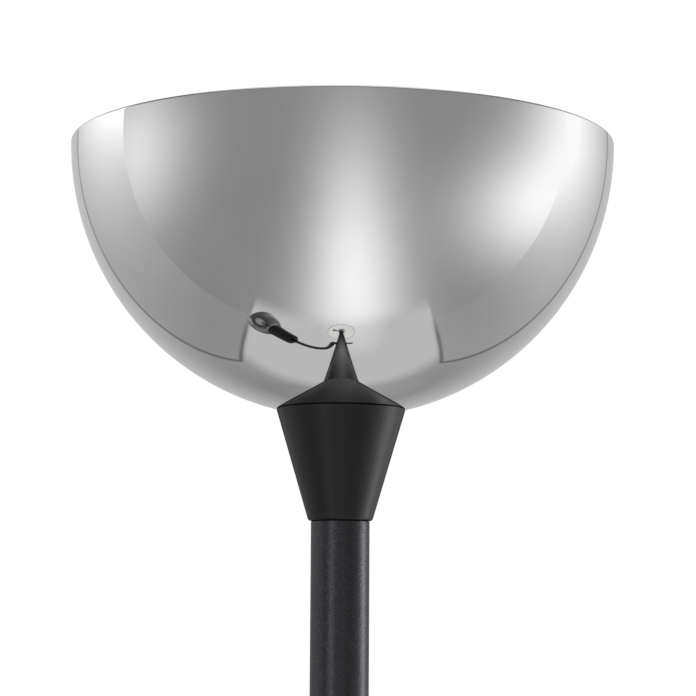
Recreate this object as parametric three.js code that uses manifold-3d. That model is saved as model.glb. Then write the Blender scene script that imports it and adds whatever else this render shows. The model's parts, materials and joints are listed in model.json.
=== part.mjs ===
// A torchiere floor lamp with a side reading lamp: a heavy round base, a three-piece post, a tapered neck,
// a mirror-finished hemispherical bowl that throws light upwards, and a small gooseneck reading lamp
// halfway up the post. Millimetres, +Z up, origin on the floor under the post, reading lamp towards -X.
import * as THREE from 'three';
import { mergeVertices } from 'three/addons/utils/BufferGeometryUtils.js';
import Module from 'manifold-3d';

const wasm = await Module();
wasm.setup();

// ---- Driving dimensions ----
const LAMP_HEIGHT = 1780;      // floor to the bowl's rim
const BOWL_RADIUS = 150;       // outside of the hemisphere
const BOWL_WALL = 1.2;
const POST_RADIUS = 16;
const POST_WALL = 1;
const CONE_TOP_RADIUS = 35.4;
const CONE_FOOT_RADIUS = 17.9;
const CONE_HEIGHT = 61;
const BASE_RADIUS = 130;
const BASE_HEIGHT = 28;
const ARM_HEIGHT = 1143;       // the reading arm's pivot above the floor
const GAP = 0.3;               // between pieces that touch
const POST_SECTIONS = 3;

// M10 lamp thread, used from the base to the lampholder
const STUD_RADIUS = 4.8;
const STUD_BORE = 3.3;
const STUD_HOLE = 5.2;
const NUT_FLATS = 17;
const NUT_HEIGHT = 5.6;
const LEAD_RADIUS = 2.3;

const FINE = 40, ROUND = 24, SMALL = 16; // segments round the large, middling and small turned pieces

// ---- Materials ----
const material = (color, roughness, metalness) =>
  new THREE.MeshStandardMaterial({ color, roughness, metalness });
const chrome = material(0xd9d9d8, 0.05, 1);
const darkNickel = material(0x6e6e70, 0.08, 1);
const powderCoat = material(0x35363a, 0.55, 0.2);
const blackPaint = material(0x202022, 0.5, 0.1);
const zincSteel = material(0xb4b6ba, 0.35, 1);
const castIron = material(0x4a4744, 0.8, 0.6);
const foam = material(0x151515, 0.95, 0);
const rubber = material(0x181818, 0.8, 0);
const brass = material(0xc8a24c, 0.3, 1);
const ceramic = material(0xe9e6df, 0.4, 0);
const bulbPlastic = material(0xf0f0ee, 0.45, 0);
const opalPlastic = material(0xf7f5ef, 0.25, 0);
const cablePvc = material(0x242424, 0.6, 0);

// ---- Helpers ----
const lamp = new THREE.Group();

function add(name, geometry, finish, parent = lamp) {
  const mesh = new THREE.Mesh(geometry, finish);
  mesh.name = name;
  parent.add(mesh);
  return mesh;
}

// Points along an arc in the (radius, height) plane; angles in degrees from the +radius axis.
function arc(centreR, centreZ, radius, from, to, steps) {
  return Array.from({ length: steps + 1 }, (_, i) => {
    const a = THREE.MathUtils.degToRad(from + ((to - from) * i) / steps);
    return [centreR + radius * Math.cos(a), centreZ + radius * Math.sin(a)];
  });
}

// A closed outline of (radius, height) points turned about +Z, whichever way round it is listed.
function turned(outline, segments) {
  const points = outline.map(([r, z]) => new THREE.Vector2(Math.max(r, 0), z));
  if (THREE.ShapeUtils.area(points) < 0) points.reverse();
  points.push(points[0].clone());
  return new THREE.LatheGeometry(points, segments).rotateX(Math.PI / 2);
}

const ring = (inner, outer, low, high, segments = ROUND) =>
  turned([[inner, low], [outer, low], [outer, high], [inner, high]], segments);

// A solid piece has its outline's two ends on the axis.
function turnedSolid(outline, segments) {
  const points = outline.map(([r, z]) => new THREE.Vector2(Math.max(r, 0), z));
  return new THREE.LatheGeometry(points, segments).rotateX(Math.PI / 2);
}

const rod = (radius, low, high, segments = SMALL) =>
  turnedSolid([[0, low], [radius, low], [radius, high], [0, high]], segments);

// A thin dome, open below: from an angle under the middle (in degrees) up to the pole.
const DOME_WALL = 1.2;
const dome = (centreR, centreZ, radius, from, steps, segments) => turnedSolid([
  ...arc(centreR, centreZ, radius - DOME_WALL, 90, from, steps),
  ...arc(centreR, centreZ, radius, from, 90, steps),
], segments);

function hexNut(bore, flats, low, height) {
  const corner = flats / Math.sqrt(3);
  const outline = Array.from({ length: 6 }, (_, i) =>
    new THREE.Vector2(corner * Math.cos((i * Math.PI) / 3), corner * Math.sin((i * Math.PI) / 3)));
  const shape = new THREE.Shape(outline);
  shape.holes.push(new THREE.Path().absarc(0, 0, bore, 0, Math.PI * 2, true));
  return new THREE.ExtrudeGeometry(shape, { depth: height, bevelEnabled: false, curveSegments: 12 })
    .translate(0, 0, low);
}

// Anything built along +Z, laid along +X with its zero at the post's axis, at the arm's height.
const alongX = (geometry) => geometry.rotateY(Math.PI / 2).translate(0, 0, ARM_HEIGHT);

function solid(geometry) {
  const bare = geometry.clone();
  for (const name of ['normal', 'uv']) bare.deleteAttribute(name);
  const merged = mergeVertices(bare, 1e-3);
  return new wasm.Manifold(new wasm.Mesh({
    numProp: 3,
    vertProperties: merged.attributes.position.array,
    triVerts: new Uint32Array(merged.index.array),
  }));
}

function geometryOf(manifold) {
  const mesh = manifold.getMesh();
  return new THREE.BufferGeometry()
    .setAttribute('position', new THREE.BufferAttribute(mesh.vertProperties, 3))
    .setIndex(new THREE.BufferAttribute(mesh.triVerts, 1));
}

const cut = (body, ...tools) =>
  geometryOf(tools.reduce((left, tool) => left.subtract(solid(tool)), solid(body)));

// A round bar along a curve.
function bar(curve, radius, steps, sides) {
  const section = new THREE.Shape().absarc(0, 0, radius, 0, Math.PI * 2);
  return new THREE.ExtrudeGeometry(section, {
    steps, extrudePath: curve, curveSegments: sides, bevelEnabled: false,
  });
}

// ---- Base: foam pad, iron weight, pressed cover, and the stud that clamps the post to them ----
const PAD_HEIGHT = 2;
const WEIGHT_RADIUS = 122;
const WEIGHT_LOW = PAD_HEIGHT + GAP;
const WEIGHT_HIGH = 18.3;
const WELL_RADIUS = 15;        // the well under the weight that hides the nut
const WELL_TOP = 15.4;
const WASHER_HEIGHT = 1.6;
const STUD_FOOT = 9.4;
const GLAND_HEIGHT = 8.5;      // the cord outlet in the skirt
const CHANNEL_WIDTH = 7;
const CHANNEL_TOP = 11;

add('base_pad', rod(WEIGHT_RADIUS + 2, 0, PAD_HEIGHT, FINE), foam);

const leadChannel = new THREE.BoxGeometry(CHANNEL_WIDTH, WEIGHT_RADIUS + 20, CHANNEL_TOP)
  .translate(0, (WEIGHT_RADIUS + 20) / 2, CHANNEL_TOP / 2);
add('base_weight', cut(
  turned([
    [STUD_HOLE, WELL_TOP], [WELL_RADIUS, WELL_TOP], [WELL_RADIUS, WEIGHT_LOW],
    [WEIGHT_RADIUS, WEIGHT_LOW], [WEIGHT_RADIUS, WEIGHT_HIGH - 1], [WEIGHT_RADIUS - 1, WEIGHT_HIGH],
    [STUD_HOLE, WEIGHT_HIGH],
  ], FINE), leadChannel), castIron);

const SKIRT_LOW = 1;
const SHOULDER_RADIUS = 8;
const SHEET = 1.2;
const SHOULDER_Z = 15;
function coverOutline() {
  const outer = [
    [BASE_RADIUS, SKIRT_LOW],
    ...arc(BASE_RADIUS - SHOULDER_RADIUS, SHOULDER_Z, SHOULDER_RADIUS, 0, 84, 3),
    [POST_RADIUS + 12, BASE_HEIGHT],
    [STUD_HOLE, BASE_HEIGHT],
  ];
  const inner = [
    [STUD_HOLE, BASE_HEIGHT - SHEET],
    [POST_RADIUS + 12, BASE_HEIGHT - SHEET],
    ...arc(BASE_RADIUS - SHOULDER_RADIUS, SHOULDER_Z, SHOULDER_RADIUS - SHEET, 84, 0, 3),
    [BASE_RADIUS - SHEET, SKIRT_LOW],
  ];
  return [...outer, ...inner];
}
const glandHole = rod(4.4, 100, 140).rotateX(-Math.PI / 2).translate(0, 0, GLAND_HEIGHT);
add('base_cover', cut(turned(coverOutline(), FINE), glandHole), chrome);

// The rubber gland grips the skirt between two flanges; its bore is where the mains cord leaves.
const glandOutline = [
  [LEAD_RADIUS + 1, 125], [6, 125], [6, 128.1], [4.1, 128.1], [4.1, 130.4],
  [6, 130.4], [6, 132], [5, 133.4], [LEAD_RADIUS + 1, 133.4],
];
add('cord_gland', turned(glandOutline, SMALL).rotateX(-Math.PI / 2).translate(0, 0, GLAND_HEIGHT), rubber);

add('base_washer', ring(STUD_HOLE, 13.5, WELL_TOP - GAP - WASHER_HEIGHT, WELL_TOP - GAP, SMALL), zincSteel);
add('base_nut', hexNut(STUD_RADIUS + 0.2, NUT_FLATS, WELL_TOP - 2 * GAP - WASHER_HEIGHT - 4, 4), zincSteel);
add('base_stud', ring(STUD_BORE, STUD_RADIUS, STUD_FOOT, 56, SMALL), zincSteel);

// ---- Post: three equal tubes screwed end to end on hollow studs ----
const POST_LOW = BASE_HEIGHT + GAP;
const BOWL_FOOT_ON_CONE = Math.sqrt(BOWL_RADIUS ** 2 - CONE_TOP_RADIUS ** 2);
const CONE_TOP = LAMP_HEIGHT - BOWL_FOOT_ON_CONE - GAP;
const CONE_LOW = CONE_TOP - CONE_HEIGHT;
const POST_HIGH = CONE_LOW - GAP;
const SECTION = (POST_HIGH - POST_LOW - GAP * (POST_SECTIONS - 1)) / POST_SECTIONS;
const PLUG_RADIUS = POST_RADIUS - POST_WALL - GAP;
const PLUG_LENGTH = 30;
const STUD_REACH = 22;

const ARM_HOLE = 5.2, SWITCH_HOLE = 4.6;
const sectionLow = (i) => POST_LOW + i * (SECTION + GAP);
['lower', 'middle', 'upper'].forEach((place, i) => {
  const low = sectionLow(i), high = low + SECTION;
  const tube = ring(POST_RADIUS - POST_WALL, POST_RADIUS, low, high);
  const holes = [alongX(rod(ARM_HOLE, -30, -5)), alongX(rod(SWITCH_HOLE, 5, 30))];
  add(`post_tube_${place}`, place === 'upper' ? cut(tube, ...holes) : tube, powderCoat);
  add(`${place}_foot_plug`, ring(STUD_HOLE, PLUG_RADIUS, low + GAP, low + PLUG_LENGTH, SMALL), zincSteel);
  add(`${place}_head_plug`, ring(STUD_HOLE, PLUG_RADIUS, high - PLUG_LENGTH, high - GAP, SMALL), zincSteel);
  if (i > 0) {
    const stud = ring(STUD_BORE, STUD_RADIUS, low - STUD_REACH, low + STUD_REACH, SMALL);
    add(`${place}_joint_stud`, stud, zincSteel);
  }
});

const COLLAR_RADIUS = POST_RADIUS + 8;
add('post_collar', turned([
  [POST_RADIUS + GAP, BASE_HEIGHT + GAP], [COLLAR_RADIUS, BASE_HEIGHT + GAP],
  [COLLAR_RADIUS, BASE_HEIGHT + 6], ...arc(COLLAR_RADIUS - 3, BASE_HEIGHT + 9, 3, 0, 90, 3),
  [POST_RADIUS + GAP, BASE_HEIGHT + 12],
], ROUND), blackPaint);

// ---- Neck: the tapered cover between the post and the bowl ----
const CONE_WALL = 1.6;
const CONE_FLOOR = 3;
const CONE_EDGE = 1.6;         // the rounding round the cone's foot
const coneSlope = Math.atan2(CONE_TOP_RADIUS - CONE_FOOT_RADIUS, CONE_HEIGHT);
const slopeDegrees = THREE.MathUtils.radToDeg(coneSlope);
const innerFoot = CONE_FOOT_RADIUS - CONE_WALL + CONE_FLOOR * Math.tan(coneSlope);
add('neck_cone', turned([
  [STUD_HOLE, CONE_LOW],
  ...arc(CONE_FOOT_RADIUS - CONE_EDGE, CONE_LOW + CONE_EDGE, CONE_EDGE, -90, -slopeDegrees, 3),
  [CONE_TOP_RADIUS, CONE_TOP],
  [CONE_TOP_RADIUS - CONE_WALL, CONE_TOP - 0.45],
  [innerFoot, CONE_LOW + CONE_FLOOR],
  [STUD_HOLE, CONE_LOW + CONE_FLOOR],
], ROUND), blackPaint);

// ---- Bowl, and the stack that clamps it on the neck's hollow stud ----
const SEAT_RADIUS = 17;        // the bowl is pressed flat where the washers clamp it
const SEAT_Z = LAMP_HEIGHT - Math.sqrt(BOWL_RADIUS ** 2 - SEAT_RADIUS ** 2);
const BOWL_STEPS = 9;
const STACK_FLOOR = SEAT_Z + BOWL_WALL + GAP;
const HOLDER_LOW = STACK_FLOOR + WASHER_HEIGHT + NUT_HEIGHT + 2 * GAP;

// A hemispherical shell, open upwards, with a flat seat at its foot, a hole through the seat, and a straight
// skirt up to its rim where it is given one.
function seatedBowl(centreZ, radius, wall, seatRadius, hole, steps, segments, skirt = 0) {
  const seatZ = centreZ - Math.sqrt(radius ** 2 - seatRadius ** 2);
  const foot = THREE.MathUtils.radToDeg(Math.acos(seatRadius / radius));
  const rim = skirt ? [[radius, centreZ + skirt], [radius - wall, centreZ + skirt]] : [];
  return turned([
    [hole, seatZ], ...arc(0, centreZ, radius, -foot, 0, steps), ...rim,
    ...arc(0, centreZ, radius - wall, 0, -foot, steps), [hole, seatZ + wall],
  ], segments);
}
add('bowl', seatedBowl(LAMP_HEIGHT, BOWL_RADIUS, BOWL_WALL, SEAT_RADIUS, STUD_HOLE, BOWL_STEPS, FINE), chrome);

const WASHER_TOP = SEAT_Z - GAP;
const SEAT_WASHER = 2;
add('bowl_seat_washer', ring(STUD_HOLE, 14, WASHER_TOP - SEAT_WASHER, WASHER_TOP, SMALL), zincSteel);
add('bowl_seat_nut',
  hexNut(STUD_RADIUS + 0.2, NUT_FLATS, WASHER_TOP - SEAT_WASHER - GAP - NUT_HEIGHT, NUT_HEIGHT), zincSteel);
add('bowl_clamp_washer', ring(STUD_HOLE, 15, STACK_FLOOR, STACK_FLOOR + WASHER_HEIGHT, SMALL), zincSteel);
add('bowl_clamp_nut',
  hexNut(STUD_RADIUS + 0.2, NUT_FLATS, STACK_FLOOR + WASHER_HEIGHT + GAP, NUT_HEIGHT), zincSteel);
add('neck_stud', ring(STUD_BORE, STUD_RADIUS, POST_HIGH - STUD_REACH, HOLDER_LOW + 6, SMALL), zincSteel);

// ---- Main lampholder (E27) and its LED bulb ----
const HOLDER_RADIUS = 20;
const HOLDER_JOINT = HOLDER_LOW + 11;   // where the holder's cap ends and its skirt begins
const SCREW_LOW = HOLDER_JOINT + 12;
add('lampholder_cap', turned([
  [STUD_HOLE, HOLDER_LOW], [11, HOLDER_LOW], ...arc(HOLDER_RADIUS - 8, HOLDER_LOW + 8, 8, -60, 0, 3),
  [HOLDER_RADIUS, HOLDER_JOINT], [HOLDER_RADIUS - 2, HOLDER_JOINT], [HOLDER_RADIUS - 2, HOLDER_LOW + 8],
  [11, HOLDER_LOW + 4], [STUD_HOLE, HOLDER_LOW + 4],
], ROUND), blackPaint);
add('lampholder_skirt', ring(HOLDER_RADIUS - 2, HOLDER_RADIUS, HOLDER_JOINT + GAP, HOLDER_JOINT + 38), blackPaint);
add('lampholder_core', turned([
  [LEAD_RADIUS + 0.8, HOLDER_JOINT + 1], [16, HOLDER_JOINT + 1], [16, SCREW_LOW - GAP],
  [LEAD_RADIUS + 0.8, SCREW_LOW - GAP],
], SMALL), ceramic);
add('lampholder_screw_shell', ring(14.2, 15, SCREW_LOW, SCREW_LOW + 22), brass);

const BULB_LOW = SCREW_LOW + 1;
const BULB_COLLAR = BULB_LOW + 26;
const GLOBE_LOW = BULB_COLLAR + 26;
const GLOBE_RADIUS = 30;
add('bulb_cap', turnedSolid([
  [0, BULB_LOW], [4, BULB_LOW], [5, BULB_LOW + 2], [13, BULB_LOW + 5], [13.2, BULB_COLLAR - GAP],
  [0, BULB_COLLAR - GAP],
], ROUND), zincSteel);
add('bulb_collar', turnedSolid([
  [0, BULB_COLLAR], [14.5, BULB_COLLAR], [17, BULB_COLLAR + 6], [24, BULB_COLLAR + 18],
  [28, GLOBE_LOW - GAP], [0, GLOBE_LOW - GAP],
], ROUND), bulbPlastic);
add('bulb_globe', dome(0, GLOBE_LOW + 10.8, GLOBE_RADIUS, -20, 6, ROUND), opalPlastic);

// ---- Switch: a turning dimmer on the side of the post away from the reading lamp ----
add('dimmer_body', alongX(ring(1.9, 6.4, 5.5, 13, SMALL)), ceramic);
add('dimmer_bush', alongX(ring(1.9, 4.2, 13 + GAP, 19, SMALL)), zincSteel);
add('dimmer_nut', alongX(ring(4.4, 7, POST_RADIUS + GAP, POST_RADIUS + 2.3, SMALL)), blackPaint);
add('dimmer_shaft', alongX(rod(1.6, 6.5, 20, 16)), zincSteel);

// A knob with a fluted grip: a star-like section with as many lobes as flutes.
const KNOB_RADIUS = 4.2, KNOB_FLUTES = 12, KNOB_LOW = 19 + GAP, KNOB_LENGTH = 17;
const fluted = new THREE.Shape(Array.from({ length: KNOB_FLUTES * 2 }, (_, i) => {
  const a = (i * Math.PI) / KNOB_FLUTES, r = KNOB_RADIUS - (i % 2) * 0.5;
  return new THREE.Vector2(r * Math.cos(a), r * Math.sin(a));
}));
const knobBlank = new THREE.ExtrudeGeometry(fluted, { depth: KNOB_LENGTH, bevelEnabled: false })
  .translate(0, 0, KNOB_LOW);
const shaftBore = rod(1.9, KNOB_LOW - 5, 20.4, 16);
add('dimmer_knob', alongX(cut(knobBlank, shaftBore)), blackPaint);

// ---- Reading arm: a turning elbow on the post and a gooseneck that bends in two places ----
const ELBOW_X = -27;
const ELBOW_RADIUS = 8.5;
const at = (x, y, z) => new THREE.Vector3(x, y, ARM_HEIGHT + z);
const saddleBlank = alongX(ring(5, 7.5, -18.3, -13.5, SMALL));
const postClear = rod(POST_RADIUS + GAP, ARM_HEIGHT - 20, ARM_HEIGHT + 20, ROUND);
add('arm_saddle', cut(saddleBlank, postClear), blackPaint);

add('arm_lock_nut', alongX(hexNut(4.8, 11.8, -12.8, 2.9)), zincSteel);

const gooseneck = new THREE.CatmullRomCurve3([
  at(-29.5, 3, 9), at(-31, 6, 26), at(-34, 11, 50), at(-42, 15.5, 78), at(-60, 15.5, 99), at(-90, 11, 102),
  at(-121, 4.6, 90), at(-134, 1, 85.6),
]);
const NECK_RADIUS = 6.5;
const NECK_LENGTH = gooseneck.getLength();
const FERRULE_FOOT = 8;        // how far along the gooseneck its first ferrule begins
// The stretches of the gooseneck, by distance along it: three stiff ones, and a flexing one at each bend.
const stretches = {
  gooseneck_root: [15.2, 46.5],
  gooseneck_flex_lower: [47.5, 75.2],
  gooseneck_middle: [76.2, 103.8],
  gooseneck_flex_upper: [104.8, 132.5],
  gooseneck_tip: [133.5, NECK_LENGTH - 9],
};
const SPOTS = 8;
const part = (from, to) => new THREE.CatmullRomCurve3(Array.from({ length: SPOTS + 1 }, (_, i) =>
  gooseneck.getPointAt((from + ((to - from) * i) / SPOTS) / NECK_LENGTH)));
for (const [name, [from, to]] of Object.entries(stretches))
  add(name, bar(part(from, to), NECK_RADIUS, 5, 5), blackPaint);

// Anything built along +Z, set on the gooseneck's line: its zero at a distance along it, +Z onwards.
function seatOn(distance) {
  const share = distance / NECK_LENGTH;
  const seat = new THREE.Group();
  seat.position.copy(gooseneck.getPointAt(share));
  seat.quaternion.setFromUnitVectors(new THREE.Vector3(0, 0, 1), gooseneck.getTangentAt(share));
  seat.updateMatrix();
  lamp.add(seat);
  return seat;
}
const armSeat = seatOn(FERRULE_FOOT);
add('arm_ferrule', turned([
  [NECK_RADIUS + GAP, 0], [8.2, 0], [8.2, 8], [7.3, 10], [NECK_RADIUS + GAP, 10],
], SMALL), blackPaint, armSeat);

// The elbow: a ball with a stem and flange towards the post, and a boss that carries the gooseneck.
const elbowPieces = [
  new THREE.SphereGeometry(ELBOW_RADIUS, 20, 12).translate(ELBOW_X, 0, ARM_HEIGHT),
  alongX(rod(4.6, ELBOW_X, -9.4)),
  alongX(rod(7, ELBOW_X, -18.6)),
  rod(7, -17, -GAP).applyMatrix4(armSeat.matrix),
].map(solid);
add('arm_elbow', geometryOf(elbowPieces.reduce((whole, piece) => whole.add(piece))), blackPaint);

// ---- Reading head: a tapered cup and a small dark-plated shade, echoing the neck and the bowl ----
const head = seatOn(NECK_LENGTH);
const SHADE_RADIUS = 62;
const SHADE_SKIRT = 9;         // the straight part between the half sphere and the shade's rim
const SHADE_WALL = 1;
const SHADE_HOLE = 11;
const SHADE_SEAT_RADIUS = 17;
const CUP_TOP_RADIUS = 30;
const CUP_FOOT_RADIUS = 24;
const CUP_LENGTH = 78;
const CUP_EDGE = 6;            // the rounding round the cup's foot
const CUP_WALL = 1.4;
const CUP_FLOOR = 3;
const SHADE_CENTRE = CUP_LENGTH + Math.sqrt(SHADE_RADIUS ** 2 - CUP_TOP_RADIUS ** 2) + GAP;
add('head_ferrule', turned([
  [NECK_RADIUS + GAP, -12], [7.3, -12], [8.5, -10], [8.5, -GAP], [NECK_RADIUS + GAP, -GAP],
], SMALL), blackPaint, head);
add('head_cup', turned([
  [3, 0], ...arc(CUP_FOOT_RADIUS - CUP_EDGE, CUP_EDGE, CUP_EDGE, -90, -5, 3),
  [CUP_TOP_RADIUS, CUP_LENGTH], [CUP_TOP_RADIUS - CUP_WALL, CUP_LENGTH - 0.9],
  [CUP_FOOT_RADIUS - CUP_WALL, CUP_EDGE + CUP_FLOOR], [CUP_FOOT_RADIUS - CUP_EDGE, CUP_FLOOR], [3, CUP_FLOOR],
], ROUND), blackPaint, head);
add('head_shade', seatedBowl(
  SHADE_CENTRE, SHADE_RADIUS, SHADE_WALL, SHADE_SEAT_RADIUS, SHADE_HOLE, 7, ROUND, SHADE_SKIRT), darkNickel, head);

// A small (E14) holder stands through the shade, and a threaded ring on it clamps the shade on the cup.
const MINI_LOW = 30;
const MINI_HIGH = 84;
const shadeInside = SHADE_CENTRE - Math.sqrt(SHADE_RADIUS ** 2 - SHADE_SEAT_RADIUS ** 2) + SHADE_WALL;
add('head_lampholder', turned([
  [3, MINI_LOW], [9, MINI_LOW], [10.6, MINI_LOW + 6], [10.6, MINI_HIGH], [8.4, MINI_HIGH],
  [8.4, MINI_LOW + 26], [3, MINI_LOW + 26],
], SMALL), ceramic, head);
add('shade_ring', ring(10.9, 15, shadeInside + GAP, shadeInside + 4.5, SMALL), blackPaint, head);
add('head_bulb_cap', turnedSolid([
  [0, MINI_LOW + 27], [2.5, MINI_LOW + 27], [7.6, MINI_LOW + 30], [7.6, MINI_HIGH + 1], [0, MINI_HIGH + 1],
], SMALL), zincSteel, head);
const MINI_GLOBE = 20;
add('head_bulb_globe', dome(0, MINI_HIGH + 20, MINI_GLOBE, -61, 7, ROUND), opalPlastic, head);

// ---- Mains lead inside the lamp: from the gland, along the channel under the weight, up the hollow studs ----
const leadRoute = new THREE.CatmullRomCurve3([
  [0, 124, 8.5], [0, 117, 7.8], [0, 106, 6], [0, 85, 5.2], [0, 50, 5.1], [0, 20, 5.1], [0, 8, 5.1], [0, 2.8, 6],
  [0, 0.5, 8.4], [0, 0, 11.5], [0, 0, 40], [0, 0, 200], [0, 0, 600], [0, 0, 1100], [0, 0, 1500],
  [0, 0, HOLDER_LOW + 9],
].map(([x, y, z]) => new THREE.Vector3(x, y, z)), false, 'centripetal');
// Read by its own parameter and not by length, so the steps are close together round the bend at the foot.
class LeadPath extends THREE.Curve {
  getPoint(t, target = new THREE.Vector3()) {
    return leadRoute.getPoint(t, target);
  }
  getPointAt(u, target) {
    return this.getPoint(u, target);
  }
  getTangentAt(u, target) {
    return this.getTangent(u, target);
  }
}
add('internal_lead', bar(new LeadPath(), LEAD_RADIUS, 45, 4), cablePvc);

export default lamp;
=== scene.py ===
# %% [markdown]
# # A torchiere floor lamp with a side reading lamp
# A tall uplighter: a heavy round base, a slim post in three screwed lengths, a tapered black neck and a
# mirror-plated bowl that is open to the ceiling. About two thirds of the way up, a small reading lamp
# stands out on a gooseneck, and a dimmer knob sits on the other side of the post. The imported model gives
# every place and size, and this script gives the looks.

# %% Load the frame
import bpy
import bmesh
import json
from math import acos, asin, atan2, cos, degrees, pi, radians, sin, sqrt, tau
from mathutils import Matrix, Vector


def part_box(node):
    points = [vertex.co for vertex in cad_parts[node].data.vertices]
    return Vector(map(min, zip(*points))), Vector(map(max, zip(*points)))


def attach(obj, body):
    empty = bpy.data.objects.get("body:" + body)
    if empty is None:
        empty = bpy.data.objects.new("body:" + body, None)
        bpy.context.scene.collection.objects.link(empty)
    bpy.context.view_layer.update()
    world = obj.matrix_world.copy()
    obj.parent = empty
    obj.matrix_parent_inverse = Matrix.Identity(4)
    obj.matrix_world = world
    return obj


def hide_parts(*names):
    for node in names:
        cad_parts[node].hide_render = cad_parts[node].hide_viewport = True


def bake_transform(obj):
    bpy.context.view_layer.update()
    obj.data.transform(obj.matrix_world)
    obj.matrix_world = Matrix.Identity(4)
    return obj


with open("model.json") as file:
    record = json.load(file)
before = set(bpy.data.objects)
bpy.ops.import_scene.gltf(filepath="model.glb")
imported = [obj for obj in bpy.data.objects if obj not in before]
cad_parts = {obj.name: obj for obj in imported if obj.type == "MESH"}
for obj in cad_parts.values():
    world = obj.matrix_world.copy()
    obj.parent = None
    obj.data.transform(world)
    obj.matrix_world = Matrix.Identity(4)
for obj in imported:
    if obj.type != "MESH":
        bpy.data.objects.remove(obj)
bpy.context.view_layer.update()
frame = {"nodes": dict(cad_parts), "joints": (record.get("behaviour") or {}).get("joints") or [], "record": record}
MM = 0.001
GAP = 0.3 * MM      # between parts that slide or stand together
SLOT_OF = {part["node"]: part["material_slot"] for part in frame["record"]["subparts"]}

# %% [markdown]
# ## Driving sizes
# Turned pieces stand on the post's axis, so a node's box gives its radius and its two levels. Nothing is
# measured twice: the bowl's rim, the arm's pivot and the floor place the camera, the studio and every new
# piece.

# %% Read the driving sizes from the frame
def upright(node):
    """The outer radius, lowest level and highest level of a node that is turned about the post's axis."""
    low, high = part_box(node)
    return high.x, low.z, high.z


JOINTS = {joint["name"]: joint for joint in frame["joints"]}
BOWL_RADIUS, _, RIM = upright("bowl")
POST_RADIUS, _, _ = upright("post_tube_lower")
ARM_PIVOT = Vector(JOINTS["arm_turn"]["pos_m"])
ARM_LEVEL = ARM_PIVOT.z
print("bowl radius", BOWL_RADIUS, "rim", RIM, "post radius", POST_RADIUS, "arm level", ARM_LEVEL)

# %% [markdown]
# ## Camera
# The picture is taken close to the lamp's head from about eye height, with a long lens tilted up a little,
# so the underside of the bowl shows and the rim is a shallow arc. The camera has a hand-held degree or so
# of lean and turn.

# %% Place the camera
CAMERA_DISTANCE = 1.233
CAMERA_DROP = 0.2608        # below the rim
CAMERA_LENS = 116.64        # millimetres, on a sensor 36 mm wide
TILT, LEAN, TURN = radians(6.88), radians(0.34), radians(-0.17)

camera = bpy.data.objects.new("camera", bpy.data.cameras.new("camera"))
camera.data.lens = CAMERA_LENS
camera.data.sensor_width = 36
camera.data.clip_end = 100
turns = Matrix.Rotation(TURN, 4, "Z") @ Matrix.Rotation(pi / 2 + TILT, 4, "X")
turns = turns @ Matrix.Rotation(LEAN, 4, "Z")
camera.matrix_world = Matrix.Translation((0, -CAMERA_DISTANCE, RIM - CAMERA_DROP)) @ turns
scene = bpy.context.scene
scene.collection.objects.link(camera)
scene.camera = camera
scene.view_settings.view_transform = "Standard"
print("camera at", tuple(round(v, 3) for v in camera.matrix_world.translation))

# %% [markdown]
# ## Shader arithmetic
# A finish is easier to read as a sum than as a drawing of nodes. Wire holds one socket and turns +, -, *
# and / into Math nodes, and Tree makes any other node in one call: its type, its settings, then what goes
# into its sockets.

# %% Socket arithmetic and a node maker
class Wire:
    """A node's output that can be added, multiplied and compared."""

    def __init__(self, tree, socket):
        self.tree = tree
        self.socket = socket

    def math(self, operation, *others):
        sockets = dict(enumerate((self, *others)))
        return self.tree.node("ShaderNodeMath", {"operation": operation}, sockets)

    def __add__(self, other):
        return self.math("ADD", other)

    def __sub__(self, other):
        return self.math("SUBTRACT", other)

    def __mul__(self, other):
        return self.math("MULTIPLY", other)

    def __truediv__(self, other):
        return self.math("DIVIDE", other)

    def __radd__(self, other):
        return self.math("ADD", other)

    def __rsub__(self, other):
        return (self * -1) + other

    def __pow__(self, other):
        return self.math("POWER", other)


class Tree:
    """A node tree with one method that makes any node."""

    def __init__(self, tree):
        self.tree = tree
        tree.nodes.clear()

    def feed(self, socket, value):
        if isinstance(value, Wire):
            self.tree.links.new(value.socket, socket)
        else:
            socket.default_value = value

    def node(self, kind, settings=None, sockets=None, out=0):
        made = self.tree.nodes.new(kind)
        for name, value in (settings or {}).items():
            setattr(made, name, value)
        for name, value in (sockets or {}).items():
            self.feed(made.inputs[name], value)
        return Wire(self, made.outputs[out]) if made.outputs else made

    def blend(self, share, first, second):
        """A colour between two, by a share from 0 to 1."""
        sockets = {"Factor": share, 6: first, 7: second}
        return self.node("ShaderNodeMix", {"data_type": "RGBA"}, sockets, out=2)

    def ease(self, value, start, end, low=0.0, high=1.0):
        """low before start, high after end, and a smooth step between them."""
        sockets = {"Value": value, 1: start, 2: end, 3: low, 4: high}
        return self.node("ShaderNodeMapRange", {"interpolation_type": "SMOOTHSTEP"}, sockets)


print("Wire and Tree are ready")

# %% [markdown]
# ## Studio
# A mirror shows its room, so most of the bowl's look is the studio round it. Real softboxes would stand in
# the way of the other views, so the studio is painted on the world: a grey room with a glowing screen on
# each side, a pool of light on the ground in front, and a hanging sheet behind whose edges show as fine
# lines in the plating. The camera itself sees plain white. A lobe is a soft oval patch of light: a bell
# curve of the distance from its middle.

# %% Paint the studio on the world
world = bpy.data.worlds.new("studio")
scene.world = world
world.use_nodes = True
sky = Tree(world.node_tree)
direction = sky.node("ShaderNodeTexCoord", out="Generated")
across, depth, rise = (sky.node("ShaderNodeSeparateXYZ", {}, {0: direction}, out=i) for i in range(3))
# In degrees: bearing 0 is behind the lamp, +90 to its right and 180 at the camera, and altitude 0 is level.
bearing = across.math("ARCTAN2", depth) * degrees(1)
altitude = rise.math("ARCSINE") * degrees(1)


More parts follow.
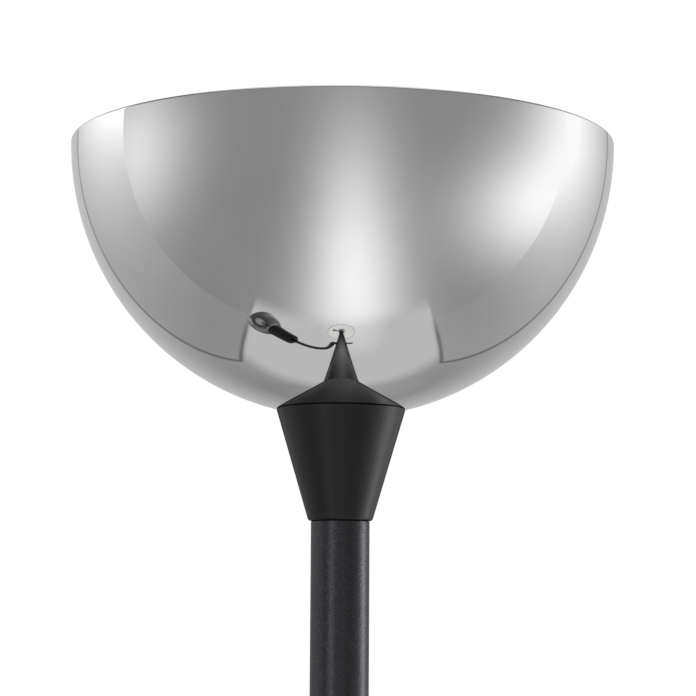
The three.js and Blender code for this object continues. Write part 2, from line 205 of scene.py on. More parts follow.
def bell(distance, spread):
    """A bell curve: 1 in the middle of a lobe, and falling off with this spread."""
    return (distance * distance * (-0.5 / spread ** 2)).math("EXPONENT")


# How bright the room, the hanging sheet, the ground, and the ceiling beside and over the lamp are.
ROOM, BACKDROP, GROUND, CEILING, OVERHEAD = 0.29, 0.60, 0.60, 0.19, 0.95
RIGHT_SEAM, LEFT_SEAM = 75, -78       # bearings where a side wall ends and its lit screen begins
right_wall = bearing.math("GREATER_THAN", 0) * bearing.math("LESS_THAN", RIGHT_SEAM)
left_wall = bearing.math("LESS_THAN", 0) * bearing.math("GREATER_THAN", LEFT_SEAM)
right_front = bearing.math("GREATER_THAN", RIGHT_SEAM)
left_front = bearing.math("LESS_THAN", LEFT_SEAM)
# Each lobe is a bell across, a bell up and down, both by their middle and spread, and how bright it is.
glow = right_wall * ((bearing / RIGHT_SEAM) ** 1.7 * bell(altitude - 12, 24) * 1.15).math("MINIMUM", 0.9)
fading_down = bell((altitude + 12).math("MINIMUM", 0), 16)
glow = glow + right_front * bell(bearing - 74 + altitude * 0.7, 22) * fading_down * 0.9
rising = (altitude.math("MINIMUM", 12) / 19).math("EXPONENT")
glow = glow + left_wall * bell(bearing + 80, 34) * rising * 0.6
glow = glow + left_front * bell(bearing + 85.5, 19.5) * bell(altitude, 14.5) * 0.63
# From straight down, up towards the camera, in degrees.
swing = (depth * -1).math("ARCTAN2", rise * -1) * degrees(1)
glow = glow + bell(across - 0.08, 0.21) * bell(swing - 23, 40) * 0.845
room = ROOM + glow

PAPER_HALF, PAPER_BACK = 0.545, 0.853       # half width and distance behind, in heights above the floor
reach = (depth / PAPER_BACK).math("MAXIMUM", rise * -1)
spot = across.math("ABSOLUTE") / reach.math("MAXIMUM", 0.001)
on_paper = sky.ease(spot, PAPER_HALF + 0.01, PAPER_HALF - 0.01) * sky.ease(depth, -0.12, 0.05)
edge_line = bell(spot - PAPER_HALF, 0.011) * sky.ease(depth, 0.05, 0.3)
hanging = BACKDROP - bell(altitude + 38, 20) * 0.24 - bell(altitude + 37, 7) * bell(bearing, 17) * 0.12
paper = sky.node("ShaderNodeMix", {}, {0: sky.ease(altitude, -44, -54), 2: hanging, 3: GROUND})
light = sky.node("ShaderNodeMix", {}, {0: on_paper, 2: room, 3: paper.math("MAXIMUM", room * 0.8)})
light = light * (1 - edge_line * 0.6)
above = sky.ease(altitude, 52, 72, CEILING, OVERHEAD)
light = sky.node("ShaderNodeMix", {}, {0: sky.ease(altitude, 14, 40), 2: light, 3: above})
# Matt surfaces get some more light from above than the mirror shows.
matt_ray = sky.node("ShaderNodeLightPath", out="Is Diffuse Ray")
light = light + matt_ray * sky.ease(altitude, -10, 50) * 0.7
seen = sky.node("ShaderNodeLightPath", out="Is Camera Ray")
strength = light * (1 - seen) + seen
background = sky.node("ShaderNodeBackground", {}, {"Color": (1, 1, 1, 1), "Strength": strength})
sky.node("ShaderNodeOutputWorld", {}, {"Surface": background})
print("studio painted with", len(world.node_tree.nodes), "nodes")

# %% [markdown]
# The floor is a pale disc that fades out at its rim, so that no horizon shows. It takes soft shadows but
# stays out of mirror reflections, where the painted studio has its own ground.

# %% Lay the floor
FLOOR_RADIUS = 3.2
FADE_START = 0.9        # metres from the post
floor_bm = bmesh.new()
bmesh.ops.create_circle(floor_bm, cap_ends=True, segments=96, radius=FLOOR_RADIUS)
floor_mesh = bpy.data.meshes.new("floor")
floor_bm.to_mesh(floor_mesh)
floor_bm.free()
floor = bpy.data.objects.new("floor", floor_mesh)
scene.collection.objects.link(floor)
floor.visible_glossy = False

floor_paint = bpy.data.materials.new("floor")
floor_paint.use_nodes = True
paint = Tree(floor_paint.node_tree)
place = paint.node("ShaderNodeTexCoord", out="Object")
distance = paint.node("ShaderNodeVectorMath", {"operation": "LENGTH"}, {0: place}, out="Value")
grain = paint.node("ShaderNodeTexNoise", {}, {"Vector": place, "Scale": 60.0, "Detail": 4.0}, out="Fac")
pale = paint.blend(grain, (0.80, 0.80, 0.80, 1), (0.84, 0.84, 0.84, 1))
matt = paint.node("ShaderNodeBsdfDiffuse", {}, {"Color": pale})
clear = paint.node("ShaderNodeBsdfTransparent")
shown = paint.ease(distance, FADE_START, FLOOR_RADIUS - 0.1, 1.0, 0.0)
faded = paint.node("ShaderNodeMixShader", {}, {0: shown, 1: clear, 2: matt})
paint.node("ShaderNodeOutputMaterial", {}, {"Surface": faded})
floor_mesh.materials.append(floor_paint)
print("floor radius", FLOOR_RADIUS)

# %% [markdown]
# ## Finishes
# Each finish is one short function of a Finish, which is a material with a Principled shader and the
# object's own coordinates. What is the same all over is set on the shader's sockets, and what varies (tone,
# roughness, bump) comes from noise at the size it has on the real thing: smears are centimetres, paint
# texture is under a millimetre.

# %% The finish maker
# The facing (0 head on, 1 edge on) where a rough skin's gloss starts to fade, and where it is gone.
EDGE_ON = (0.72, 0.92)


class Finish(Tree):
    """A material with one Principled shader, read in the object's own coordinates."""

    def __init__(self, name, **levels):
        self.material = bpy.data.materials.new(name)
        self.material.use_nodes = True
        super().__init__(self.material.node_tree)
        self.shader = self.tree.nodes.new("ShaderNodeBsdfPrincipled")
        self.output = self.tree.nodes.new("ShaderNodeOutputMaterial")
        self.tree.links.new(self.shader.outputs[0], self.output.inputs["Surface"])
        self.at = self.node("ShaderNodeTexCoord", out="Object")
        for socket, level in levels.items():
            self.shader.inputs[socket.replace("_", " ")].default_value = level

    def noise(self, per_metre, detail=3.0, rough=0.5, at=None):
        sockets = {"Vector": at or self.at, "Scale": float(per_metre), "Detail": detail, "Roughness": rough}
        return self.node("ShaderNodeTexNoise", {}, sockets, out="Fac")

    def stretched(self, x, y, z):
        """The coordinates squeezed or stretched along each axis, so that noise turns into streaks."""
        return self.node("ShaderNodeMapping", {}, {"Vector": self.at, "Scale": (x, y, z)})

    def set(self, socket, value):
        self.feed(self.shader.inputs[socket], value)

    def quench(self, tone):
        """Fades the gloss into a dark body where the skin is seen nearly edge on, as a rough skin does."""
        facing = self.node("ShaderNodeLayerWeight", {}, {"Blend": 0.5}, out="Facing")
        body = self.node("ShaderNodeBsdfDiffuse", {}, {"Color": tone})
        gloss = Wire(self, self.shader.outputs[0])
        lost = self.ease(facing, *EDGE_ON)
        mixed = self.node("ShaderNodeMixShader", {}, {0: lost, 1: gloss, 2: body})
        self.feed(self.output.inputs["Surface"], mixed)

    def bump(self, height, depth, over=None):
        """Raises the surface by up to depth, in metres. Another bump can go over the normal it returns."""
        sockets = {"Height": height * depth, "Distance": 1.0, "Strength": 1.0}
        if over:
            sockets["Normal"] = over
        normal = self.node("ShaderNodeBump", {}, sockets)
        self.set("Normal", normal)
        return normal


FINISHES = {}


def finish(maker):
    """Makes the material once and files it under its slot's name, which is the function's name."""
    FINISHES[maker.__name__] = maker()
    print("finish", maker.__name__)
    return maker


# %% [markdown]
# ### Chrome
# Spun steel, polished and plated. The mirror is nearly perfect: only wiping marks dull it in places, and
# the spinning leaves a very faint wave. Two roughness maps at different sizes keep it from looking
# computed. The reading shade's plate is a darker black nickel, and the insides of both are left satin.

# %% Chrome plate
@finish
def chrome():
    plate = Finish("chrome", Metallic=1.0)
    wiped = plate.ease(plate.noise(9, 4.0, 0.6), 0.45, 0.8)
    hazy = plate.ease(plate.noise(120, 5.0, 0.65), 0.5, 0.9)
    plate.set("Roughness", 0.022 + wiped * 0.035 + hazy * 0.02)
    plate.set("Base Color", plate.blend(wiped, (0.80, 0.80, 0.795, 1), (0.74, 0.74, 0.74, 1)))
    plate.bump(plate.noise(14, 1.0), 0.00006)
    return plate.material


@finish
def dark_nickel():
    plate = Finish("dark_nickel", Metallic=1.0)
    wiped = plate.ease(plate.noise(24, 4.0, 0.6), 0.45, 0.8)
    plate.set("Roughness", 0.035 + wiped * 0.04 + plate.noise(300, 3.0) * 0.02)
    plate.set("Base Color", plate.blend(wiped, (0.285, 0.285, 0.292, 1), (0.25, 0.25, 0.255, 1)))
    plate.bump(plate.noise(30, 1.0), 0.00002)
    return plate.material


@finish
def chrome_inside():
    plate = Finish("chrome_inside", Metallic=1.0)
    rings = plate.noise(1, 3.0, at=plate.stretched(30, 30, 900))
    plate.set("Roughness", 0.24 + rings * 0.05)
    plate.set("Base Color", plate.blend(plate.noise(25), (0.74, 0.74, 0.73, 1), (0.78, 0.78, 0.77, 1)))
    plate.bump(rings, 0.00001)
    return plate.material


# %% [markdown]
# ### Powder coat and lacquer
# The post has a charcoal powder coat: fine orange peel with metal flakes that catch the light. The neck,
# collar and cup have a smoother black lacquer, with a softer skin and a trace of dust. Flakes are Voronoi
# cells with a random tone, of which only the brightest few show. Both coats lose their gloss where they are
# seen edge on, so the post stays dark at its sides and in the bowl.

# %% Powder coat with flakes
@finish
def powder_coat():
    coat = Finish("powder_coat", Metallic=0.85, Specular_Tint=(0.7, 0.7, 0.7, 1))
    cells = {"Vector": coat.at, "Scale": 2600.0}
    tone = coat.node("ShaderNodeTexVoronoi", {}, cells, out="Color")
    pick = coat.node("ShaderNodeSeparateXYZ", {}, {0: tone})
    flake = coat.ease(pick, 0.86, 0.99)
    mottle = coat.noise(1400, 3.0, 0.6)
    dark = coat.blend(mottle, (0.040, 0.040, 0.043, 1), (0.056, 0.056, 0.061, 1))
    coat.set("Base Color", coat.blend(flake, dark, (0.11, 0.11, 0.12, 1)))
    coat.set("Roughness", 0.21 + mottle * 0.1)
    peel = coat.bump(coat.noise(1500, 2.0), 0.00010)
    coat.bump(coat.noise(3200, 2.0), 0.00004, over=peel)
    coat.quench((0.03, 0.03, 0.032, 1))
    return coat.material


@finish
def black_paint():
    paint = Finish("black_paint", Specular_IOR_Level=0.26)
    skin = paint.noise(900, 2.0)
    dust = paint.ease(paint.noise(2600, 3.0, 0.7), 0.62, 0.8)
    tone = paint.blend(paint.noise(45), (0.0090, 0.0080, 0.0088, 1), (0.0130, 0.0118, 0.0128, 1))
    paint.set("Base Color", paint.blend(dust * 0.2, tone, (0.06, 0.058, 0.058, 1)))
    paint.set("Roughness", 0.38 + paint.noise(60) * 0.08 + dust * 0.1)
    paint.bump(skin, 0.00005)
    paint.quench((0.02, 0.018, 0.019, 1))
    return paint.material


@finish
def gooseneck_sheath():
    sheath = Finish("gooseneck_sheath")
    rub = sheath.ease(sheath.noise(260, 4.0, 0.7), 0.55, 0.75)
    sheath.set("Base Color", sheath.blend(rub, (0.011, 0.011, 0.012, 1), (0.035, 0.034, 0.034, 1)))
    sheath.set("Roughness", 0.34 + rub * 0.18)
    sheath.bump(sheath.noise(1500), 0.00004)
    return sheath.material


# %% [markdown]
# ### Plastics, rubber and foam
# Moulded black parts have a fine spark-eroded grain, rubber and foam are matt and a little dusty, and the
# bulb's dome and collar are clean white plastic. The dome glows by scattering light inside itself.

# %% Moulded parts
def moulded(name, dark, light, rough, grain_per_metre, depth, **levels):
    """Plastic or rubber: two close tones, a roughness that wanders and a fine grain."""
    part = Finish(name, **levels)
    grain = part.noise(grain_per_metre, 3.0, 0.6)
    part.set("Base Color", part.blend(part.noise(70, 3.0), (*dark, 1), (*light, 1)))
    part.set("Roughness", rough + part.noise(110) * 0.1 - grain * 0.04)
    part.bump(grain, depth)
    return part.material


@finish
def black_plastic():
    return moulded("black_plastic", (0.010, 0.010, 0.011), (0.018, 0.018, 0.019), 0.42, 2400, 0.00005)


@finish
def rubber():
    return moulded("rubber", (0.012, 0.012, 0.012), (0.024, 0.023, 0.022), 0.72, 1800, 0.00008)


@finish
def lead_pvc():
    return moulded("lead_pvc", (0.014, 0.014, 0.014), (0.022, 0.022, 0.022), 0.5, 1500, 0.00005)


@finish
def bulb_plastic():
    return moulded("bulb_plastic", (0.80, 0.80, 0.79), (0.85, 0.85, 0.84), 0.38, 900, 0.00002)


@finish
def opal_plastic():
    levels = {"Subsurface_Weight": 0.35, "Subsurface_Scale": 0.004, "Subsurface_Radius": (1, 1, 1)}
    return moulded("opal_plastic", (0.87, 0.85, 0.81), (0.91, 0.89, 0.85), 0.28, 600, 0.00001, **levels)


@finish
def foam():
    pad = Finish("foam", Roughness=0.95)
    cells = pad.node("ShaderNodeTexVoronoi", {}, {"Vector": pad.at, "Scale": 1300.0}, out="Distance")
    pad.set("Base Color", pad.blend(cells, (0.008, 0.008, 0.008, 1), (0.030, 0.030, 0.030, 1)))
    pad.bump(cells, 0.0003)
    return pad.material


# %% [markdown]
# ### Bare and plated metals, and porcelain
# Screws and nuts are bright zinc with turning marks, the weight is a rough grey casting, threads in the
# holders are rolled brass, and the holders' cores are white glazed porcelain with small pits.

# %% Hardware metals
def machined(name, dull, bright, rough):
    """Turned metal: fine rings across the axis, and stains that dull it."""
    metal = Finish(name, Metallic=1.0)
    marks = metal.noise(1, 4.0, 0.6, at=metal.stretched(80, 80, 5000))
    stain = metal.ease(metal.noise(160, 4.0, 0.6), 0.4, 0.75)
    metal.set("Base Color", metal.blend(stain, (*bright, 1), (*dull, 1)))
    metal.set("Roughness", rough + marks * 0.1 + stain * 0.12)
    metal.bump(marks, 0.00003)
    return metal.material


@finish
def zinc_steel():
    return machined("zinc_steel", (0.42, 0.43, 0.45), (0.62, 0.63, 0.65), 0.24)


@finish
def brass():
    return machined("brass", (0.42, 0.29, 0.11), (0.68, 0.49, 0.21), 0.22)


@finish
def nickel_cap():
    return machined("nickel_cap", (0.50, 0.50, 0.49), (0.68, 0.68, 0.67), 0.2)


@finish
def cast_iron():
    casting = Finish("cast_iron", Metallic=0.7)
    sand = casting.noise(700, 6.0, 0.7)
    rust = casting.ease(casting.noise(38, 5.0, 0.65), 0.58, 0.72)
    casting.set("Base Color", casting.blend(rust * 0.7, (0.085, 0.082, 0.080, 1), (0.16, 0.075, 0.035, 1)))
    casting.set("Roughness", 0.66 + sand * 0.2)
    casting.bump(sand, 0.0005)
    return casting.material


@finish
def ceramic():
    glaze = Finish("ceramic", Coat_Weight=0.6, Coat_Roughness=0.08)
    pits = glaze.ease(glaze.noise(900, 3.0), 0.66, 0.74)
    glaze.set("Base Color", glaze.blend(pits, (0.78, 0.765, 0.73, 1), (0.42, 0.39, 0.34, 1)))
    glaze.set("Roughness", 0.24 + glaze.noise(80) * 0.12)
    glaze.bump(glaze.noise(240, 2.0), 0.0001)
    return glaze.material


print("finishes", sorted(FINISHES))

# %% [markdown]
# ## The CAD nodes that stay
# Studs, plugs, nuts and the inner lead are right as they are, and mostly hidden. They only get their
# finishes.

# %% Give every CAD node its finish
for name, node in frame["nodes"].items():
    node.data.materials.clear()
    node.data.materials.append(FINISHES[SLOT_OF[name]])
print("CAD nodes finished", len(frame["nodes"]))

# %% [markdown]
# ## Turning
# Nearly everything on a lamp is turned, spun or pressed round an axis, so one tool makes it: an outline of
# radius and height, its sharp corners softened by a small bevel, then one full spin. Close to each corner a
# flat gets an extra edge, so smooth shading stays in the corner and the flat stays flat.

# %% The lathe
SHARP = radians(25)     # a corner that turns more than this is softened


def arc(centre_r, centre_z, radius, start, end, steps):
    """Points of an arc in the outline's plane, angles in degrees from straight outwards."""
    angles = (radians(start + (end - start) * i / steps) for i in range(steps + 1))
    return [(centre_r + radius * cos(a), centre_z + radius * sin(a)) for a in angles]


def corner_angle(vert):
    """How far the outline turns at a point, or 0 at its two ends."""
    ends = [edge.other_vert(vert).co - vert.co for edge in vert.link_edges]
    return pi - ends[0].angle(ends[1]) if len(ends) == 2 else 0


def ease_flats(bm):
    """Splits each long edge next to a corner's short one, so that the flat beyond the split shades flat."""
    for vert in list(bm.verts):
        if len(vert.link_edges) != 2:
            continue
        short, long = sorted(vert.link_edges, key=lambda edge: edge.calc_length())
        if long.calc_length() > 4 * short.calc_length():
            bmesh.utils.edge_split(long, vert, short.calc_length() / long.calc_length())


def draw_outline(bm, points, closed, soften):
    """Draws an outline of radius and height in the XZ plane, with its sharp corners softened."""
    corners = [bm.verts.new((r, 0, z)) for r, z in points]
    following = corners[1:] + corners[:1] if closed else corners[1:]
    for pair in zip(corners, following):
        bm.edges.new(pair)
    if soften:
        sharp = [vert for vert in corners if corner_angle(vert) > SHARP]
        bmesh.ops.bevel(bm, geom=sharp, offset=soften, offset_type="OFFSET", segments=3, profile=0.5,
                        affect="VERTICES", material=-1, clamp_overlap=True)
    ease_flats(bm)


def turned(points, steps=64, closed=True, soften=0.3 * MM):
    """A bmesh of an outline turned about Z. An outline that isn't closed has its two ends on the axis."""
    bm = bmesh.new()
    draw_outline(bm, points, closed, soften)
    bmesh.ops.spin(bm, geom=bm.verts[:] + bm.edges[:], cent=(0, 0, 0), axis=(0, 0, 1), angle=tau,
                   steps=steps, use_merge=True)
    bmesh.ops.remove_doubles(bm, verts=bm.verts[:], dist=1e-7)
    bmesh.ops.recalc_face_normals(bm, faces=bm.faces[:])
    return bm


def tube(inner, outer, low, high, **options):
    """A turned ring with a square section."""
    return turned([(inner, low), (outer, low), (outer, high), (inner, high)], **options)


def set_up(name, bm, body, nodes, place=None):
    """Makes the object in its place, and lets it ride, take its finish and stand for its CAD nodes."""
    if place is not None:
        bmesh.ops.transform(bm, matrix=place, verts=bm.verts[:])
    mesh = bpy.data.meshes.new(name)
    bm.to_mesh(mesh)
    bm.free()
    mesh.polygons.foreach_set("use_smooth", [True] * len(mesh.polygons))
    slot = SLOT_OF[nodes[0]]
    mesh.materials.append(FINISHES[slot])
    piece = bpy.data.objects.new(name, mesh)
    scene.collection.objects.link(piece)
    if body:
        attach(piece, body)
    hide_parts(*nodes)
    print("piece", name, len(mesh.polygons), "faces")
    return piece


# %% [markdown]
# ## The bowl
# A hemisphere of thin steel, spun over a former: a flat seat at the bottom where the washers clamp it, a
# true spherical wall, and a rim rolled inwards into a fine bead. It is a mirror, so it gets many fine
# steps, and its inside is a second, duller finish.

# %% Spin the bowl
WALL = 1.2 * MM
SEAT_RADIUS = 17 * MM
STUD_HOLE = 5.2 * MM


def seated_bowl(centre, radius, wall, seat, hole, rings, steps, soften, skirt=0.0):
    """Half a sphere of shell: a flat seat at its foot, a straight skirt on top if any, and a rolled rim."""
    foot = degrees(acos(seat / radius))
    seat_level = centre - sqrt(radius ** 2 - seat ** 2)
    rim = centre + skirt
    hem = 0.9 * wall        # the radius of the rim's bead, which the walls stop short of
    outside = arc(0, centre, radius, -foot, 0, rings)
    inside = arc(0, centre, radius - wall, 0, -foot, rings)
    below = [point for point in outside if point[1] < rim - 1.2 * hem]
    within = [point for point in inside if point[1] < rim - 2.6 * hem]
    roll = arc(radius - hem, rim - hem, hem, 0, 180, 12)
    points = [(hole, seat_level)] + below + roll + [(radius - 2 * hem, rim - 1.9 * hem)] + within
    points.append((hole, seat_level + wall))
    return turned(points, steps=steps, soften=soften)


def dull_inside(piece, centre, axis, radius, wall):
    """Gives the faces that lie on the inner wall the duller finish."""
    piece.data.materials.append(FINISHES["chrome_inside"])
    for face in piece.data.polygons:
        away = Vector(face.center) - centre
        away -= axis * max(away.dot(axis), 0)
        face.material_index = 1 if away.length < radius - 0.6 * wall else 0


spun = seated_bowl(RIM, BOWL_RADIUS, WALL, SEAT_RADIUS, STUD_HOLE, rings=72, steps=192, soften=0.3 * MM)
bowl = set_up("bowl_shell", spun, "stand", ["bowl"])
dull_inside(bowl, Vector((0, 0, RIM)), Vector((0, 0, 1)), BOWL_RADIUS, WALL)

# %% [markdown]
# ## Neck, post and collar
# The neck is a tapered cover with a small rounding at its foot and a thin lip under the bowl. The post is
# three drawn tubes with a hair line between them. The collar hides the hole in the base.

# %% Turn the neck, the post and the collar
cone_top, cone_low, cone_high = upright("neck_cone")
CONE_FOOT = 17.9 * MM
CONE_WALL = 1.6 * MM
CONE_ROUND = 1.6 * MM       # the radius of the edge at its foot
CONE_FLOOR = 3 * MM
LIP = 0.45 * MM
slope = (cone_top - CONE_FOOT) / (cone_high - cone_low)
neck = [
    (STUD_HOLE, cone_low), (CONE_FOOT - CONE_ROUND, cone_low),
    *arc(CONE_FOOT - CONE_ROUND, cone_low + CONE_ROUND, CONE_ROUND, -80, -16, 5),
    (cone_top, cone_high), (cone_top - CONE_WALL, cone_high - LIP),
    (CONE_FOOT - CONE_WALL + CONE_FLOOR * slope, cone_low + CONE_FLOOR), (STUD_HOLE, cone_low + CONE_FLOOR),
]
set_up("neck_cover", turned(neck, steps=128, soften=0.25 * MM), "stand", ["neck_cone"])

POST_WALL = 1 * MM
for place in ("lower", "middle", "upper"):
    radius, low, high = upright(f"post_tube_{place}")
    shell = tube(radius - POST_WALL, radius, low, high, steps=96, soften=0.35 * MM)
    set_up(f"post_{place}", shell, "stand", [f"post_tube_{place}"])

collar_radius, collar_low, collar_high = upright("post_collar")
COLLAR_ROUND = 4 * MM
bore = POST_RADIUS + GAP
collar = [
    (bore, collar_low), (collar_radius, collar_low), (collar_radius, collar_high - 5.7 * MM),
    *arc(collar_radius - COLLAR_ROUND, collar_high - 4.6 * MM, COLLAR_ROUND, 4, 84, 8),
    (bore + 1 * MM, collar_high), (bore, collar_high - 0.8 * MM),
]
set_up("foot_collar", turned(collar, steps=96, soften=0.3 * MM), "stand", ["post_collar"])

# %% [markdown]
# ## Base
# A pressed cover with a rolled shoulder and a shallow dome sits over the iron weight, and the foam pad
# keeps the iron off the floor. The cover is an open shell, and its skirt is drilled at the back for the
# cord's gland.

# %% Press the base cover and cut the pad
cover_radius, cover_low, cover_high = upright("base_cover")
SHEET = 1.2 * MM
SHOULDER = 8 * MM
SHOULDER_END = 84       # degrees round the shoulder, where the dome takes over
shoulder_level = cover_low + 14 * MM
flat_radius = POST_RADIUS + 12 * MM


def shoulder(radius, start, end):
    """The rolled edge between the skirt and the dome, from one angle to another."""
    return arc(cover_radius - SHOULDER, shoulder_level, radius, start, end, 12)


def crown(level):
    """The shallow dome from the shoulder in to the flat round the post, as a formula of the radius."""
    edge_r, edge_z = shoulder(SHOULDER, 0, SHOULDER_END)[-1]
    drop = cover_high - edge_z
    spots = [edge_r + (flat_radius - edge_r) * i / 10 for i in range(1, 10)]
    return [(r, level - drop * ((r - flat_radius) / (edge_r - flat_radius)) ** 1.6) for r in spots]


def laid_y(level):
    """Stands a piece that was turned about Z along +Y, at a level above the floor."""
    return Matrix.Translation((0, 0, level)) @ Matrix.Rotation(-pi / 2, 4, "X")


def drilled(bm, cutter):
    """The first shape with the second taken out of it."""
    blanks = []
    for shape in (bm, cutter):
        mesh = bpy.data.meshes.new("blank")
        shape.to_mesh(mesh)
        shape.free()
        blanks.append(bpy.data.objects.new("blank", mesh))
        scene.collection.objects.link(blanks[-1])
    hole = blanks[0].modifiers.new("hole", "BOOLEAN")
    hole.solver = "EXACT"
    hole.object = blanks[1]
    bpy.context.view_layer.update()
    result = bmesh.new()
    result.from_object(blanks[0], bpy.context.evaluated_depsgraph_get())
    for blank in blanks:
        mesh = blank.data
        bpy.data.objects.remove(blank)
        bpy.data.meshes.remove(mesh)
    return result


cover = [
    (cover_radius, cover_low), *shoulder(SHOULDER, 0, SHOULDER_END), *crown(cover_high),
    (flat_radius, cover_high), (STUD_HOLE, cover_high),
    (STUD_HOLE, cover_high - SHEET), (flat_radius, cover_high - SHEET),
    *reversed(crown(cover_high - SHEET)), *shoulder(SHOULDER - SHEET, SHOULDER_END, 0),
    (cover_radius - SHEET, cover_low),
]
GLAND_LEVEL = 8.5 * MM
DRILL, DRILL_START, DRILL_END = 4.3 * MM, 0.11, 0.14        # its radius, and its ends from the post's axis
drill = turned([(0, DRILL_START), (DRILL, DRILL_START), (DRILL, DRILL_END), (0, DRILL_END)], steps=48,
               closed=False, soften=0)
bmesh.ops.transform(drill, matrix=laid_y(GLAND_LEVEL), verts=drill.verts[:])
pressed = drilled(turned(cover, steps=160, soften=0.3 * MM), drill)
base_shell = set_up("base_shell", pressed, "stand", ["base_cover"])
base_shell.data.set_sharp_from_angle(angle=radians(50))     # so that the hole's edge stays crisp
pad_radius, pad_low, pad_high = upright("base_pad")
pad = [(0, pad_low), (pad_radius, pad_low), (pad_radius, pad_high), (0, pad_high)]
set_up("foot_pad", turned(pad, steps=96, closed=False, soften=0.4 * MM), "stand", ["base_pad"])

# %% [markdown]
# The cord leaves through a rubber gland in the skirt. The gland has two flanges that grip the sheet, and a
# short plain nose. It lies along Y, so it is turned about Z and then laid over.

# %% Mould the cord gland
GLAND_BORE, GLAND_FLANGE, GLAND_WAIST = 3.3 * MM, 6 * MM, 4.1 * MM
# Where each flange starts and ends, and the nose starts, from the post's axis. The sheet lies between them.
INNER_START, INNER_END, OUTER_START, OUTER_END, NOSE_START = 0.125, 0.1281, 0.1304, 0.1319, 0.1322
gland_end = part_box("cord_gland")[1].y
gland = [
    (GLAND_BORE, INNER_START), (GLAND_FLANGE, INNER_START), (GLAND_FLANGE, INNER_END),
    (GLAND_WAIST, INNER_END), (GLAND_WAIST, OUTER_START), (GLAND_FLANGE, OUTER_START),
    (GLAND_FLANGE, OUTER_END), (5.2 * MM, NOSE_START), (5.0 * MM, gland_end), (GLAND_BORE, gland_end),
]
set_up("cord_gland_rubber", turned(gland, steps=48, soften=0.3 * MM), "stand", ["cord_gland"],
       laid_y(GLAND_LEVEL))

# %% [markdown]
# ## Lampholder and bulb
# Looking down into the bowl you see the clamp nut, the black holder with its moulded ribs, and the LED
# bulb: a screw cap, a white collar with shallow cooling ribs and an opal dome. Threads and ribs are rings
# in the outline.

# %% Turn the lampholder
def ringed(radius, low, high, pitch, depth):
    """A stretch of outline with round ridges: one ridge for each pitch, this deep."""
    count = max(1, round((high - low) / pitch))
    step = (high - low) / count
    shape = ((0, 1), (0.25, 0.3), (0.5, 0), (0.75, 0.3))
    points = [(radius - depth * sink, low + step * (i + share))
              for i in range(count) for share, sink in shape]
    return points + [(radius - depth, high)]


holder_radius, cap_low, cap_high = upright("lampholder_cap")
holder_bore = holder_radius - 2 * MM
CAP_FOOT, CAP_ROUND, CAP_FLOOR = 11 * MM, 8 * MM, 4 * MM
holder_cap = [
    (STUD_HOLE, cap_low), (CAP_FOOT, cap_low),
    *arc(holder_radius - CAP_ROUND, cap_low + CAP_ROUND, CAP_ROUND, -82, 0, 8),
    (holder_radius, cap_high), (holder_bore, cap_high), (holder_bore, cap_low + CAP_ROUND),
    (CAP_FOOT, cap_low + CAP_FLOOR), (STUD_HOLE, cap_low + CAP_FLOOR),
]
set_up("holder_cap", turned(holder_cap, soften=0.3 * MM), "stand", ["lampholder_cap"])

_, skirt_low, skirt_high = upright("lampholder_skirt")
skirt = [
    (holder_bore, skirt_low), (holder_radius, skirt_low), (holder_radius, skirt_low + 3 * MM),
    *ringed(holder_radius, skirt_low + 5 * MM, skirt_high - 12 * MM, 2.6 * MM, 0.7 * MM),
    (holder_radius, skirt_high - 10 * MM), (holder_radius, skirt_high), (holder_bore, skirt_high),
]
set_up("holder_skirt", turned(skirt, soften=0.25 * MM), "stand", ["lampholder_skirt"])

# %% Turn the main bulb
def screw_cap(radius, low, high, pitch, tip):
    """A bulb's screw cap: the contact button, the black glass cone and the rolled thread."""
    thread = ringed(radius, low + 6 * MM, high - 2.5 * MM, pitch, 0.8 * MM)
    cone = [(tip, low), (tip + 1 * MM, low + 1.6 * MM), (radius - 1.6 * MM, low + 5 * MM)]
    return [(0, low), *cone, *thread, (radius - 0.2 * MM, high - 1.5 * MM), (radius, high), (0, high)]


cap_radius, cap_low, cap_high = upright("bulb_cap")
main_cap = screw_cap(cap_radius, cap_low, cap_high, pitch=3.6 * MM, tip=4 * MM)
set_up("bulb_screw", turned(main_cap, closed=False, soften=0.15 * MM), "stand", ["bulb_cap"])

collar_radius, collar_low, collar_high = upright("bulb_collar")
bulb_collar = [
    (0, collar_low), (14.5 * MM, collar_low), (15 * MM, collar_low + 2 * MM),
    (17 * MM, collar_low + 6 * MM), (20.3 * MM, collar_low + 11.5 * MM),
    (24 * MM, collar_low + 18 * MM), (27 * MM, collar_high - 2.5 * MM),
    (collar_radius, collar_high - 0.6 * MM), (collar_radius - 0.4 * MM, collar_high), (0, collar_high),
]
set_up("bulb_body", turned(bulb_collar, steps=72, closed=False, soften=0.8 * MM), "stand", ["bulb_collar"])


def dome(centre, radius, start, wall, steps):
    """A thin dome, open below, from an angle under its middle up to the pole and back inside."""
    return [*arc(0, centre, radius - wall, 90, start, steps), *arc(0, centre, radius, start, 90, steps)]


globe_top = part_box("bulb_globe")[1].z
GLOBE, GLOBE_WALL = 30 * MM, 1.2 * MM
main_dome = dome(globe_top - GLOBE, GLOBE, -20, GLOBE_WALL, 24)
set_up("bulb_dome", turned(main_dome, steps=72, closed=False, soften=0), "stand", ["bulb_globe"])

# %% [markdown]
# ## Dimmer
# On the right of the post stand a threaded bush, a round nut and a slim fluted knob. The knob is a circle
# of points drawn in and out along a wave, pulled up into a bar, with the edges of both ends bevelled.

# %% Make the dimmer
def laid_x():
    """Stands a piece that was turned about Z along +X, at the arm's level."""
    return Matrix.Translation((0, 0, ARM_LEVEL)) @ Matrix.Rotation(pi / 2, 4, "Y")


